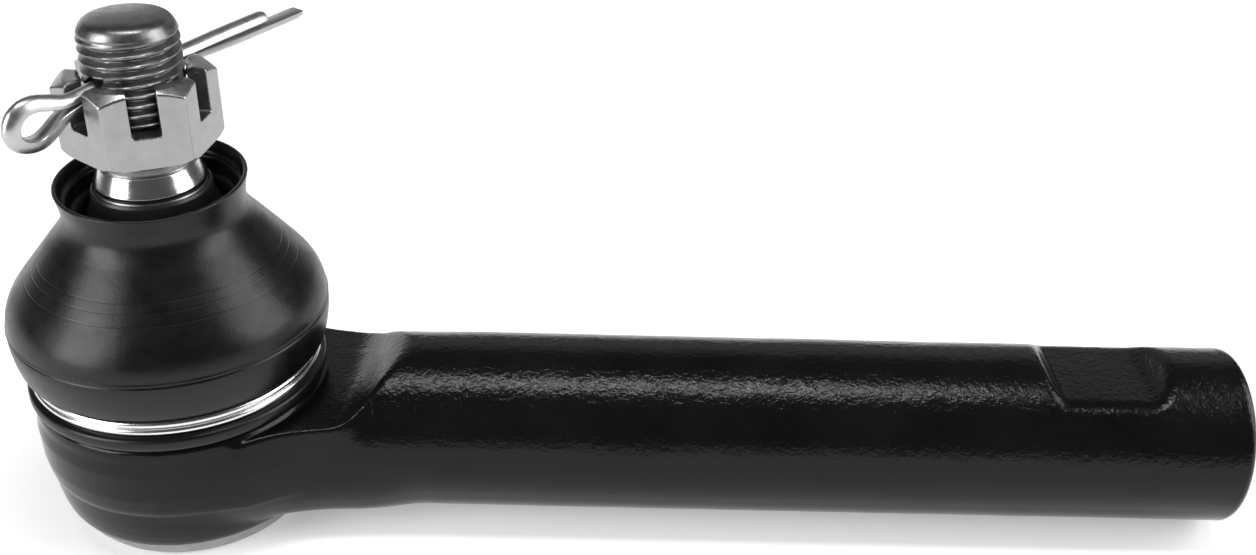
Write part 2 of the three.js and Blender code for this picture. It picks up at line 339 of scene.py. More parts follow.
def value_noise(P, scale):
    """Smooth noise in -1..1 from a fixed random lattice."""
    q = P / scale
    i = np.floor(q).astype(np.int64)
    t = q - i
    t = t * t * (3 - 2 * t)
    i %= 48
    j = (i + 1) % 48
    out = 0
    for a in (0, 1):
        for b in (0, 1):
            for c in (0, 1):
                w = (t[:, 0] if a else 1 - t[:, 0]) * (t[:, 1] if b else 1 - t[:, 1]) * (t[:, 2] if c else 1 - t[:, 2])
                out = out + w * _lat[(j if a else i)[:, 0], (j if b else i)[:, 1], (j if c else i)[:, 2]]
    return out * 2 - 1


# ---------------------------------------------------------------- materials
def material(name):
    m = bpy.data.materials.new(name)
    m.use_nodes = True
    nt = m.node_tree
    b = nt.nodes["Principled BSDF"]
    tc = nt.nodes.new("ShaderNodeTexCoord")
    return m, nt, b, tc.outputs["Object"]


def node(nt, kind, inputs=None, **props):
    n = nt.nodes.new(kind)
    for k, v in props.items():
        setattr(n, k, v)
    for k, v in (inputs or {}).items():
        if hasattr(v, "is_output") or isinstance(v, bpy.types.NodeSocket):
            nt.links.new(v, n.inputs[k])
        else:
            n.inputs[k].default_value = v
    return n


def noise(nt, co, scale, detail=3.0, rough=0.5, stretch=None, distortion=0.0):
    if stretch:
        co = node(nt, "ShaderNodeMapping", {"Vector": co, "Scale": stretch}).outputs[0]
    return node(nt, "ShaderNodeTexNoise", {"Vector": co, "Scale": scale, "Detail": detail, "Roughness": rough,
                                           "Distortion": distortion}).outputs["Fac"]


def remap(nt, value, a, b, c, d):
    return node(nt, "ShaderNodeMapRange", {"Value": value, "From Min": a, "From Max": b, "To Min": c, "To Max": d}).outputs[0]


def ramp(nt, value, stops):
    n = node(nt, "ShaderNodeValToRGB", {"Fac": value})
    cr = n.color_ramp
    while len(cr.elements) < len(stops):
        cr.elements.new(0.5)
    for e, (p, c) in zip(cr.elements, stops):
        e.position = p
        e.color = (c, c, c, 1) if not isinstance(c, tuple) else (*c, 1)
    return n.outputs[0]


def math_node(nt, op, a, b=None):
    n = nt.nodes.new("ShaderNodeMath")
    n.operation = op
    for k, v in enumerate((a, b)):
        if v is None:
            continue
        if isinstance(v, bpy.types.NodeSocket):
            nt.links.new(v, n.inputs[k])
        else:
            n.inputs[k].default_value = v
    return n.outputs[0]


def bump(nt, b, height, distance, strength=1.0, prev=None):
    n = node(nt, "ShaderNodeBump", {"Height": height, "Distance": distance, "Strength": strength})
    if prev is not None:
        nt.links.new(prev, n.inputs["Normal"])
    nt.links.new(n.outputs[0], b.inputs["Normal"])
    return n.outputs[0]


def separate(nt, co):
    return node(nt, "ShaderNodeSeparateXYZ", {"Vector": co}).outputs


def radial(nt, co):
    s = separate(nt, co)
    return math_node(nt, "SQRT", math_node(nt, "ADD", math_node(nt, "MULTIPLY", s[0], s[0]), math_node(nt, "MULTIPLY", s[1], s[1]))), s


def forging_paint():
    m, nt, b, co = material("forging_black_paint")
    r, s = radial(nt, co)
    turned = remap(nt, r, 0.0192, 0.0215, 0.0, 1.0)            # 0 on the turned head, 1 on the forged shank
    upper = remap(nt, s[2], 0.011, 0.019, 0.15, 1.0)           # the paint has run smooth underneath
    rough_zone = math_node(nt, "MULTIPLY", turned, upper)
    fine = noise(nt, co, 3000.0, 3.0, 0.6, distortion=0.5)
    mid = noise(nt, co, 1500.0, 2.0, 0.55, stretch=(0.8, 1.0, 1.0), distortion=0.8)
    pits = node(nt, "ShaderNodeTexVoronoi", {"Vector": co, "Scale": 1200.0, "Randomness": 1.0}).outputs["Distance"]
    h = math_node(nt, "ADD", math_node(nt, "MULTIPLY", mid, 1.0), math_node(nt, "MULTIPLY", fine, 0.30))
    h = math_node(nt, "ADD", h, math_node(nt, "MULTIPLY", pits, 0.30))
    h = math_node(nt, "MULTIPLY", h, remap(nt, rough_zone, 0.0, 1.0, 0.08, 1.0))
    bump(nt, b, h, 0.000070, 1.0)
    wear = noise(nt, co, 90.0, 5.0, 0.65)
    nt.links.new(ramp(nt, wear, [(0.3, 0.003), (0.7, 0.006)]), b.inputs["Base Color"])
    rg = remap(nt, noise(nt, co, 260.0, 4.0, 0.6), 0.3, 0.7, 0.13, 0.20)
    nt.links.new(rg, b.inputs["Roughness"])
    b.inputs["Specular IOR Level"].default_value = 0.21
    return m


def steel(name, base, rough, grain=2500.0, vary=0.06, depth=0.00001, axis="z", spec=0.5, tint=(1.0, 1.0, 1.0), lines=None, metallic=1.0):
    m, nt, b, co = material(name)
    b.inputs["Metallic"].default_value = metallic
    n1 = noise(nt, co, 420.0, 4.0, 0.6)
    lo, hi = base * (1 - vary), base * (1 + vary)
    nt.links.new(ramp(nt, n1, [(0.3, tuple(lo * t for t in tint)), (0.7, tuple(hi * t for t in tint))]), b.inputs["Base Color"])
    nt.links.new(remap(nt, noise(nt, co, 900.0, 3.0, 0.6), 0.3, 0.7, rough * 0.85, rough * 1.2), b.inputs["Roughness"])
    h = noise(nt, co, grain, 2.0, 0.5)
    if lines:
        s = separate(nt, co)
        tz = noise(nt, node(nt, "ShaderNodeCombineXYZ", {"X": s[2]}).outputs[0], lines, 2.0, 0.7)
        h = math_node(nt, "ADD", math_node(nt, "MULTIPLY", h, 0.3), tz)
    bump(nt, b, h, depth, 0.8)
    return m


def rubber(name, base=0.022, rough=0.46, spec=0.5):
    m, nt, b, co = material(name)
    n1 = noise(nt, co, 70.0, 5.0, 0.6)
    nt.links.new(ramp(nt, n1, [(0.25, base * 0.75), (0.75, base * 1.25)]), b.inputs["Base Color"])
    nt.links.new(remap(nt, noise(nt, co, 300.0, 4.0, 0.6), 0.3, 0.7, rough - 0.05, rough + 0.07), b.inputs["Roughness"])
    h = math_node(nt, "ADD", noise(nt, co, 2600.0, 3.0, 0.6), math_node(nt, "MULTIPLY", noise(nt, co, 400.0, 3.0, 0.5), 0.8))
    bump(nt, b, h, 0.000018, 0.8)
    b.inputs["Specular IOR Level"].default_value = spec
    return m


def resin(name):
    m, nt, b, co = material(name)
    nt.links.new(ramp(nt, noise(nt, co, 120.0, 4.0, 0.6), [(0.3, (0.62, 0.58, 0.47)), (0.7, (0.72, 0.68, 0.57))]), b.inputs["Base Color"])
    nt.links.new(remap(nt, noise(nt, co, 500.0, 3.0, 0.6), 0.3, 0.7, 0.36, 0.48), b.inputs["Roughness"])
    bump(nt, b, noise(nt, co, 1800.0, 2.0, 0.5), 0.00001, 0.6)
    b.inputs["Subsurface Weight"].default_value = 0.06
    b.inputs["Subsurface Radius"].default_value = (0.0012, 0.001, 0.0008)
    return m


PAINT = forging_paint()
PLATE = steel("plate_steel", 0.30, 0.50, grain=1600.0, vary=0.10, depth=0.00002, metallic=0.5)
SPRING = steel("spring_steel", 0.30, 0.38, vary=0.1)
SEAT = resin("seat_resin")
STUD = steel("stud_steel", 0.20, 0.33, grain=1500.0, vary=0.22, depth=0.00003)
CONE = steel("stud_turned", 0.74, 0.16, grain=1500.0, vary=0.06, depth=0.000022, lines=4200.0)
ZINC = steel("nut_zinc", 0.34, 0.30, grain=1300.0, vary=0.06, depth=0.000006)
PIN = steel("pin_zinc", 0.48, 0.33, grain=1500.0, vary=0.07, depth=0.000010)
BOOT = rubber("boot_rubber", 0.003, 0.31, 0.34)
COLLAR = rubber("neck_ring_black", 0.011, 0.38)
WIRE = steel("clip_wire", 0.74, 0.20, grain=2000.0, vary=0.05, depth=0.000005)


# ---------------------------------------------------------------- forged body
HEAD = [(0, 2.9), (16.7, 2.9), (17.2, 3.2), (17.53, 3.9), (17.82, 5.0), (18.08, 6.4), (18.28, 7.9), (18.42, 9.0), (18.66, 9.55), (18.78, 10.1), (19.02, 11.8),
        (19.1, 15.6), (18.85, 17.4), (18.85, 19.1), (18.55, 19.4), (16, 19.4), (16, 24.9), (17, 24.9), (17, 25.7),
        (16.7, 26), (0, 26)]
CAVITY = [(-3, -1), (13.3, -1), (13.3, 21.3), (8.95, 21.3), (11.8, 26), (12.2, 32), (-3, 32)]
SEAT_CUT = [(-3, -4), (16.95, -4), (16.95, 2.9), (-3, 2.9)]


def table(xs, ys, blur, lo, hi, step=0.05):
    """A piecewise-linear height table with softened corners."""
    g = np.arange(lo, hi, step)
    v = np.interp(g, xs, ys)
    k = max(1, int(round(blur / step)))
    for _ in range(2):
        pad = np.concatenate([np.full(k, v[0]), v, np.full(k, v[-1])])
        c = np.cumsum(np.concatenate([[0.0], pad]))
        v = (c[2 * k + 1:] - c[:-2 * k - 1]) / (2 * k + 1)
    return g, v


PAD_G, PAD_H = table([-40, 23.6, 25.6, 28.6, 31.0, 34, 36], [PAD_Z, PAD_Z, PAD_Z + 1.2, SHANK_Z + SHANK_R - 1.5,
                     SHANK_Z + SHANK_R - 0.1, 25.0, 29], 1.3, -40, 60)
FLAT_G, FLAT_V = table([0, FLAT_X0 - 2.2, FLAT_X0 - 2.0, FLAT_X0, FLAT_X1, FLAT_X1 + 2.7, FLAT_X1 + 2.9, 160],
                       [16, 13.2, 12.2, FLAT_H, FLAT_H, 12.3, 13.3, 16], 0.7, 0, 160)


def body_field(P):
    x, y, z = (P[:, k].astype(np.float32) for k in range(3))
    zc = z - SHANK_Z
    rs = np.hypot(y, zc)
    # shank with a rounded end
    qx, qr = x - SHANK_END + END_ROUND, rs - SHANK_R + END_ROUND
    shank = np.minimum(np.maximum(qx, qr), 0) + np.hypot(np.maximum(qx, 0), np.maximum(qr, 0)) - END_ROUND
    f = shank
    near = x < 46
    if near.any():
        xn, yn, zn = x[near], y[near], zc[near]
        t = np.clip((40.0 - xn) / 28.0, 0.0, 1.0)
        w = SHANK_R + 3.6 * t ** 5
        h = SHANK_R - 0.55 * t
        ease = lambda q: np.clip(q, 0.0, 1.0) ** 2 * (3 - 2 * np.clip(q, 0.0, 1.0))
        p = 2.0 + np.where(zn > 0, 2.0 * ease((27.0 - xn) / 7.0), 0.65 * ease((34.0 - xn) / 10.0))   # upright sides over softer corners
        ay, az = np.maximum(np.abs(yn) / w, 1e-4), np.maximum(np.abs(zn) / h, 1e-4)
        q = ay ** p + az ** p
        k0 = q ** (1.0 / p)
        slope = np.sqrt((ay ** (p - 1) / w) ** 2 + (az ** (p - 1) / h) ** 2) * q ** (1.0 / p - 1.0)
        bar = (k0 - 1) / np.maximum(slope, 0.02)
        bar = np.maximum(bar, 4.0 - xn)
        H = np.interp(xn, PAD_G, PAD_H)
        S = (np.interp(xn + 0.1, PAD_G, PAD_H) - np.interp(xn - 0.1, PAD_G, PAD_H)) / 0.2
        pad = (z[near] - H) / np.sqrt(1 + S * S)
        r = np.hypot(xn, yn)
        head = poly_sdf(r, z[near], HEAD)
        k = np.interp(z[near], [0, 4, 9, 14, 18.5, 40], [0.4, 0.8, 4.5, 4.5, 1.8, 1.8])
        # fillet first, then the pad is machined through it, then the turned boss stands clear of the pad
        g = smin(smax(smin(head, bar, k), pad, 0.6), head, 0.5)
        g = smax(g, -poly_sdf(r, z[near], SEAT_CUT), 0.25)
        g = smax(g, -poly_sdf(r, z[near], CAVITY), 0.2)
        f = f.copy()
        f[near] = np.where(xn < 44, g, np.minimum(g, shank[near]))
    far = x > 76
    if far.any():
        xf, rf = x[far], rs[far]
        H = np.interp(xf, FLAT_G, FLAT_V)
        S = (np.interp(xf + 0.1, FLAT_G, FLAT_V) - np.interp(xf - 0.1, FLAT_G, FLAT_V)) / 0.2
        g = smax(f[far], (np.abs(zc[far]) - H) / np.sqrt(1 + S * S), 0.9)
        bore = np.maximum(rf - 8.3, 82.0 - xf)
        tip = ((rf - 7.2) + (82.0 - xf) * 1.7) / 1.97                 # drill point
        bore = np.minimum(bore, np.maximum(tip, xf - 82.05))
        f[far] = smax(g, -bore, 0.25)
    return f


def build_body():
    step = lambda a, b, h: np.linspace(a, b, int(round((b - a) / h)) + 1)
    X = np.concatenate([step(-19.8, 33, 0.32), step(33.45, 114.9, 0.45), step(115.2, 145, 0.32)])
    Y = step(-19.8, 19.8, 0.32)
    Z = np.concatenate([step(-0.35, 11.0, 0.24), step(11.3, 26.65, 0.32)])
    F = np.empty((len(X), len(Y), len(Z)), np.float32)
    yy, zz = np.meshgrid(Y, Z, indexing="ij")
    for a in range(0, len(X), 16):
        xs = X[a:a + 16]
        P = np.stack([np.repeat(xs, yy.size), np.tile(yy.ravel(), len(xs)), np.tile(zz.ravel(), len(xs))], 1)
        F[a:a + 16] = body_field(P).reshape(len(xs), len(Y), len(Z))
    V, Q = surface_nets(F, X, Y, Z)
    V = settle(body_field, V, 3, 0.2)
    N = gradient(body_field, V)
    N /= np.maximum(np.linalg.norm(N, axis=1), 1e-6)[:, None]
    # forged skin: gentle waviness and scale marks on the shank and neck, none on turned faces
    r = np.hypot(V[:, 0], V[:, 1])
    rs = np.hypot(V[:, 1], V[:, 2] - SHANK_Z)
    skin = np.clip((r - 19.3) / 2.5, 0, 1) * np.clip((rs - 9.0) / 0.4, 0, 1) * np.clip((143.2 - V[:, 0]) / 1.5, 0, 1)
    top = np.clip((V[:, 2] - 9.0) / 8.0, 0.25, 1.0)
    d = 0.035 * value_noise(V, 6.0) + 0.010 * value_noise(V + 31, 1.9) * top + 0.014 * value_noise(V + 77, 0.95) * top
    d = d - 0.045
    V = V + N * (d * skin)[:, None]
    ob = mesh_object("tie_rod_body", V, Q, PAINT, sharp=None)
    return outward(ob)


body = build_body()
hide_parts("forged_body")
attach(body, "housing")


def build_bore_thread():
    """Threaded liner of the shank's bore, M16 x 1.5, its outer wall just inside the forging."""
    pitch, seg = 1.5, 120
    xs = np.arange(81.0, 143.75, 0.125)
    phi = 2 * np.pi * np.arange(seg) / seg
    rings = []
    for x in xs:
        u = ((x / pitch - phi / (2 * np.pi)) % 1.0)
        tri = 1 - np.abs(2 * u - 1)
        r = 7.22 + 0.80 * np.clip((tri - 0.12) / 0.78, 0, 1)
        r = np.maximum(r, 8.22 - (143.75 - x) * 0.95)
        r = np.minimum(r, 8.25)
        rings.append(np.stack([np.full(seg, x), r * np.cos(phi), SHANK_Z + r * np.sin(phi)], 1))
    outer = [np.stack([np.full(seg, x), 8.45 * np.cos(phi), SHANK_Z + 8.45 * np.sin(phi)], 1)
             for x in np.linspace(143.75, 81.0, 12)]
    return sweep("shank_bore_thread", None, rings + outer, PAINT, closed=True, sharp=50.0)


liner = build_bore_thread()
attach(liner, "housing")

# ---------------------------------------------------------------- closing plate, spring, seats
plate = lathe_object("closing_plate_disc", fillet([
    (0, 0), (6.9, 0, 0.1), (7.15, 0.22, 0.1), (8.3, 0.22, 0.1), (8.55, 0, 0.1), (14.7, 0, 0.8), (15.3, 0.2, 0.5), (16.35, 1.6, 0.5), (16.6, 2.6, 0.1),
    (13, 2.6, 0.1), (13, 3.7, 0.15), (12.2, 3.7, 0.15), (12.2, 2.0, 0.3), (0, 2.0)]), PLATE, 192)
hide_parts("closing_plate")
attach(plate, "housing")

spring = lathe_object("preload_disc_spring", fillet([(5.2, 3.47, 0.1), (5.2, 4.03, 0.1), (11.7, 2.93, 0.1), (11.7, 2.32, 0.1)]), SPRING, 128)
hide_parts("preload_spring")
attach(spring, "housing")


def seat_groove(r, z, phi):
    """Grease grooves in the ball socket: six shallow meridian channels."""
    on_ball = abs(math.hypot(r, z - BALL_Z) - 10.25) < 0.02 and r > 2.5
    if not on_ball:
        return np.full(phi.shape, r)
    g = np.abs(np.mod(phi * 6 / (2 * np.pi) + 0.5, 1.0) - 0.5) / 6 * 2 * np.pi * r       # arc distance to a groove
    return r + 0.45 * np.exp(-(g / 0.55) ** 2)


def ball_arc(a0, a1, n):
    return [(10.25 * math.cos(math.radians(a0 + (a1 - a0) * i / n)), BALL_Z + 10.25 * math.sin(math.radians(a0 + (a1 - a0) * i / n)))
            for i in range(n + 1)]


low = [(0, BALL_Z - 10.25)] + ball_arc(-84, -1.2, 40) + fillet([(13, 15.8, 0.2), (13, 8.4, 0.5), (9.4, 4.4, 0.4)], 0.2)[0:0] \
    + [(12.8, 15.8), (12.95, 15.72), (13, 15.6), (13, 8.6), (12.9, 8.3), (9.55, 4.55), (9.2, 4.4), (0, 4.4)]
lower = lathe_object("lower_seat_cup", low, SEAT, 144, seat_groove)
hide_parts("lower_ball_seat")
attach(lower, "housing")

up = ball_arc(1.2, 30.0, 16) + [(9.1, 21.0), (12.8, 21.0), (12.95, 20.92), (13, 20.8), (13, 16.4), (12.95, 16.25), (12.8, 16.2), (10.4, 16.2)]
upper = lathe_object("upper_seat_ring", up, SEAT, 144, seat_groove)
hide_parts("upper_ball_seat")
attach(upper, "housing")


# ---------------------------------------------------------------- ball stud
def build_stud():
    seg, pitch = 160, 1.25
    a_top = 90 - math.degrees(math.asin(5.5 / BALL_R))
    prof = [(0, BALL_Z - 9.6), (2.0, BALL_Z - 9.6), (2.55, BALL_Z - 9.58)]
    prof += [(BALL_R * math.cos(math.radians(a)), BALL_Z + BALL_R * math.sin(math.radians(a)))
             for a in np.linspace(-73.2, a_top - 3.0, 44)]
    prof += [(5.62, 24.15), (5.52, 24.5), (5.5, 25.0), (5.5, 27.0), (5.5, 28.9), (5.55, 29.6), (5.75, 30.4), (6.2, 31.6), (6.9, 32.7), (7.6, 33.6),
             (7.8, 33.9), (7.85, 34.3)]
    prof += [(7.85 - (z - 34.3) / 13.5 * 0.82, z) for z in np.arange(35.5, 47.7, 1.5)]
    prof += [(7.00, 47.95), (6.86, 48.10), (6.90, 48.22), (6.95, 48.40), (6.98, 48.60)]
    prof += [(6.96 - (z - 48.8) * 0.465, z) for z in np.arange(48.8, 50.86, 0.1)]      # bright cone
    prof += [(5.98, 50.92), (5.90, 51.04), (5.76, 51.16), (5.7, 51.4), (5.7, 51.9), (5.6, 52.2)]
    n_plain = len(prof)
    zs = np.arange(52.3, 68.9, 0.085)
    env = lambda z: np.interp(z, [52.2, 52.9, 67.5, 68.1, 68.6, 68.9], [5.6, 6.0, 6.0, 5.92, 5.74, 5.58])
    prof += [(float(env(z)), float(z)) for z in zs]
    n_thread = len(prof)
    prof += [(5.46, 69.1), (5.32, 69.3), (5.12, 69.5), (4.85, 69.67), (4.5, 69.79), (4.0, 69.88), (3.3, 69.97), (2.6, 70.04), (1.7, 70.11), (0.8, 70.16), (0, 70.18)]

    def radius(r, z, phi):
        if z < 52.25 or z > 68.9:
            return np.full(phi.shape, r)
        u = (z / pitch - phi / (2 * np.pi)) % 1.0
        tri = 1 - np.abs(2 * u - 1)                            # 0 at the root, 1 at the crest
        cut = 0.74 * (1 - np.clip((tri - 0.10) / 0.74, 0, 1))
        cut = cut * float(np.interp(z, [52.25, 53.4, 67.6, 68.7], [0.0, 1.0, 1.0, 0.0]))
        rr = np.minimum(r, 6.0 - cut)
        return np.maximum(rr, 5.2)

    v, f = lathe(prof, seg, radius)
    fz = np.array([v[q, 2].mean() for q in f])
    idx = np.where((fz > 48.05) & (fz < 51.1), 1, 0)
    ob = mesh_object("ball_stud_turned", v, f, [STUD, CONE], 40.0, idx)
    outward(ob)
    # cross hole for the split pin
    hole_v, hole_f = lathe([(0, -9), (1.72, -9), (1.72, 9), (0, 9)], 48)
    hv = hole_v[:, [2, 1, 0]].copy()
    c, s = math.cos(PSI), math.sin(PSI)
    hv = np.stack([c * hv[:, 0] - s * hv[:, 1], s * hv[:, 0] + c * hv[:, 1], hv[:, 2] + PIN_Z + 0.15], 1)
    cut = outward(mesh_object("cut", hv, hole_f, STUD, 30.0))
    mod = ob.modifiers.new("hole", "BOOLEAN")
    mod.operation, mod.solver, mod.object = "DIFFERENCE", "EXACT", cut
    apply_modifiers(ob)
    bpy.data.objects.remove(cut)
    ob.data.shade_smooth()
    ob.data.set_sharp_from_angle(angle=math.radians(40))
    return ob


def apply_modifiers(ob):
    dg = bpy.context.evaluated_depsgraph_get()
    me = bpy.data.meshes.new_from_object(ob.evaluated_get(dg), preserve_all_data_layers=True, depsgraph=dg)
    ob.modifiers.clear()
    old = ob.data
    ob.data = me
    bpy.data.meshes.remove(old)


stud = build_stud()
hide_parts("ball_stud")
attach(stud, "stud")


# ---------------------------------------------------------------- castle nut
def nut_field(P):
    x, y, z = (P[:, k] for k in range(3))
    r = np.hypot(x, y)
    d = np.full(x.shape, -1e3)
    for i in range(3):
        a = PSI + i * math.pi / 3
        d = smax(d, np.abs(x * math.cos(a) + y * math.sin(a)) - NUT_AF / 2, 0.16) if i else np.abs(x * math.cos(a) + y * math.sin(a)) - NUT_AF / 2
    d = smax(d, np.maximum(NUT_Z0 - z, z - NUT_Z1), 0.12)
    d = smax(d, (r - 8.1) * 0.6 + (z - NUT_Z1) * 0.8, 0.16)
    d = smax(d, ((r - 9.15) * 0.55 + (NUT_Z0 - z) * 0.765) / 0.942, 0.12)
    phi = np.arctan2(y, x)
    u = (z / 1.25 - phi / (2 * np.pi)) % 1.0
    tri = np.abs(2 * u - 1)
    bore_r = 6.12 + 0.34 * (1 - tri) + np.clip(0.9 - (z - NUT_Z0), 0, 0.9) + np.clip(0.5 - (NUT_Z1 - z), 0, 0.5)
    d = smax(d, (bore_r - r) * 0.85, 0.1)
    for i in range(3):
        a = PSI + i * math.pi / 3
        v = np.abs(-x * math.sin(a) + y * math.cos(a))
        # a milled slot with small fillets at its floor
        q1, q2 = v - 1.7 + 0.35, 57.5 - z + 0.35
        slot = np.minimum(np.maximum(q1, q2), 0) + np.hypot(np.maximum(q1, 0), np.maximum(q2, 0)) - 0.35
        d = smax(d, -slot, 0.14)
    return d


def build_nut():
    step = lambda a, b, h: np.linspace(a, b, int(round((b - a) / h)) + 1)
    X = step(-10.1, 10.1, 0.15)
    Z = step(NUT_Z0 - 0.35, NUT_Z1 + 0.35, 0.145)
    xx, yy = np.meshgrid(X, X, indexing="ij")
    F = np.empty((len(X), len(X), len(Z)), np.float32)
    for k, z in enumerate(Z):
        F[:, :, k] = nut_field(np.stack([xx.ravel(), yy.ravel(), np.full(xx.size, z)], 1)).reshape(len(X), len(X))
    V, Q = surface_nets(F, X, X, Z)
    V = settle(nut_field, V, 4, 0.08)
    return outward(mesh_object("slotted_nut", V, Q, ZINC, sharp=30.0))


nut = build_nut()
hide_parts("castle_nut")
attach(nut, "stud")


# ---------------------------------------------------------------- split pin
def build_pin():
    """One half-round wire: short leg, eye, long leg. s runs along the pin, h is height in its plane."""
    R = 1.16
    slope = math.tan(math.radians(4.2))
    mid = lambda s: PIN_Z + 0.12 + slope * s                 # the legs rise a little
    top, bot = [], []
    gap = lambda s: 0.03 + 0.15 * min(1.0, max(0.0, (s - 4.0) / 8.0))      # the legs part a little past the nut
    for s in np.linspace(20.2, -4.6, 40):
        top.append((s, mid(s) + gap(s)))
    for s in np.linspace(-4.6, 25.6, 48):
        bot.append((s, mid(s) - gap(s)))
    loop = [(-4.6, 0.03), (-6.2, 0.02), (-7.8, -0.12), (-9.4, -0.28), (-10.8, -0.25), (-12.2, 0.10), (-13.5, 0.48), (-14.7, 0.42), (-15.6, -0.10),
            (-16.1, -0.95), (-16.1, -1.75), (-15.6, -2.45), (-14.6, -2.85), (-13.5, -2.80), (-12.4, -2.25), (-11.2, -1.45), (-10.0, -0.92), (-8.4, -0.50),
            (-6.6, -0.16), (-4.6, -0.03)]
    loop = catmull(loop, 0.35)
    n_top = len(top) + len(loop) // 2
    path = top[:-1] + [(s, (mid(s) if s > -7 else mid(-7) - 0.02 * (-7 - s)) + h) for s, h in loop] + bot[1:]
    path = np.array(path)
    n = len(path)
    rings = []
    k = 13
    c, sn = math.cos(PSI), math.sin(PSI)
    for i in range(n):
        a, b = path[max(0, i - 1)], path[min(n - 1, i + 1)]
        t = (b - a) / np.linalg.norm(b - a)
        out = np.array([t[1], -t[0]])                          # away from the flat side
        if i < 3:
            pass
        ring = []
        sec = [(R * math.sin(q), R * math.cos(q)) for q in np.linspace(0.06, math.pi - 0.06, k)]
        sec = [(max(u, 0.0), v) for u, v in sec]
        ring_uv = [(0.0, R - 0.1)] + sec + [(0.0, -R + 0.1)]
        eye = min(1.0, max(0.0, (-path[i][0] - 8.0) / 4.0))
        part = min(1.0, max(0.0, (path[i][0] - 9.0) / 6.0)) * (0.10 if i < n_top else -0.35)
        shrink = 1.0
        if i == 0 or i == n - 1:
            shrink = 0.86
        for u, v in ring_uv:
            p = path[i] + out * u * shrink * (1.0 + 0.48 * eye * eye * (3 - 2 * eye))
            v = v * shrink + part
            ring.append((c * p[0] - sn * v, sn * p[0] + c * v, p[1]))
        rings.append(np.array(ring))
    # the cut ends are only narrowed by the shrink above; this loop does nothing
    for end, nxt in ((0, 1), (n - 1, n - 2)):
        pass
    return sweep("split_pin_wire", None, rings, PIN, sharp=50.0)


pin = build_pin()
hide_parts("cotter_pin")
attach(pin, "stud")


# ---------------------------------------------------------------- dust boot
def build_boot():
    base = [(16.3, 19.75), (19.0, 19.75), (19.3, 19.95), (19.45, 20.4), (19.42, 21.3), (19.2, 21.6), (17.75, 21.75), (17.58, 21.95), (17.55, 22.4),
            (17.55, 24.2), (17.62, 24.45), (17.85, 24.6), (19.45, 24.75), (19.68, 24.95)]
    shoulder = catmull([(19.68, 24.95), (19.95, 25.8), (20.28, 27.4), (20.48, 29.2), (20.46, 29.9)], 0.3)[1:]
    seam = [(20.44, 30.02), (20.30, 30.12), (20.30, 30.26), (20.50, 30.38), (20.52, 30.52), (20.42, 30.66)]
    cone = catmull([(20.42, 30.66), (20.30, 31.6), (19.95, 32.8), (19.35, 34.0), (18.5, 35.2), (17.0, 37.05), (15.25, 39.2), (13.9, 40.85), (12.75, 42.2)], 0.3)[1:]
    neck = catmull([(12.75, 42.2), (12.0, 43.25), (11.55, 44.15), (11.36, 45.0), (11.40, 46.1), (11.60, 47.3), (11.80, 48.3)], 0.3)[1:]
    rim = [(11.86, 48.5), (11.84, 48.66), (11.72, 48.74), (11.52, 48.74), (11.36, 48.66), (11.28, 48.5)]
    dish = [(11.12, 47.4), (10.98, 46.95), (10.75, 46.82), (10.6, 46.7), (10.5, 46.4), (10.38, 45.2), (10.2, 44.75), (9.85, 44.55), (9.45, 44.5), (9.25, 44.6), (9.1, 44.85),
            (8.98, 44.9), (8.92, 44.75), (8.92, 42.4), (9.05, 42.15), (10.3, 41.45)]
    inner = catmull([(10.3, 41.45), (11.4, 40.3), (13.6, 38.0), (16.9, 34.2), (18.1, 31.9), (18.4, 29.2), (18.1, 27.3), (17.4, 26.45), (17.3, 25.6), (17.2, 24.8)], 0.6)[1:]
    close = [(16.4, 24.4), (16.3, 24.25), (16.3, 23.2), (16.45, 23.0), (16.3, 22.8), (16.3, 21.8), (16.45, 21.6), (16.3, 21.4)]
    prof = base + shoulder + seam + cone + neck + rim + dish + inner + close
    # fine mould lines on the cone
    pts = np.array(prof)
    extra = []
    for zl in (36.85, 38.1, 39.1):
        extra += [zl - 0.16, zl - 0.07, zl, zl + 0.07, zl + 0.16]
    outer = []
    n_before = len(base) + len(shoulder) + len(seam)
    cz = [q for q in cone]
    zz = np.array([q[1] for q in cz])
    rr = np.array([q[0] for q in cz])
    keep = [(r, z) for r, z in cz if min(abs(z - zl) for zl in (36.85, 38.1, 39.1)) > 0.2]
    add = [(float(np.interp(z, zz, rr)) - (0.035 if min(abs(z - zl) for zl in (36.85, 38.1, 39.1)) < 0.02 else 0.0), z) for z in extra]
    cone2 = sorted(keep + add, key=lambda q: q[1])
    prof = base + shoulder + seam + cone2 + neck + rim + dish + inner + close
    seg = 224
    jag = rng.rand(seg)
    jag2 = np.convolve(np.concatenate([jag[-2:], jag, jag[:2]]), [0.25, 0.5, 0.25], "same")[2:-2]
    sparse = (rng.rand(seg) > 0.86) * rng.rand(seg)

    def radius(r, z, phi):
        rr = np.full(phi.shape, r)
        if r > 20.3 and 30.3 < z < 30.6:                       # flash left on the parting line
            rr = rr + 0.05 * jag2 + 0.05 * sparse - 0.03
        if z > 48.4 and r > 11.2:                              # a trimmed rim is never quite even
            rr = rr + 0.03 * (jag2 - 0.5)
        return np.minimum(rr, 20.54)

    return lathe_object("rubber_boot", prof, BOOT, seg, radius, sharp=60.0)


boot = build_boot()
# the soft rim sits a touch lower at the front than at the back
for v in boot.data.vertices:
    q = min(1.0, max(0.0, (v.co.z - 0.0440) / 0.0040))
    v.co.z += 0.042 * v.co.y * q * q * (3 - 2 * q)
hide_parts("dust_boot")
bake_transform(boot)

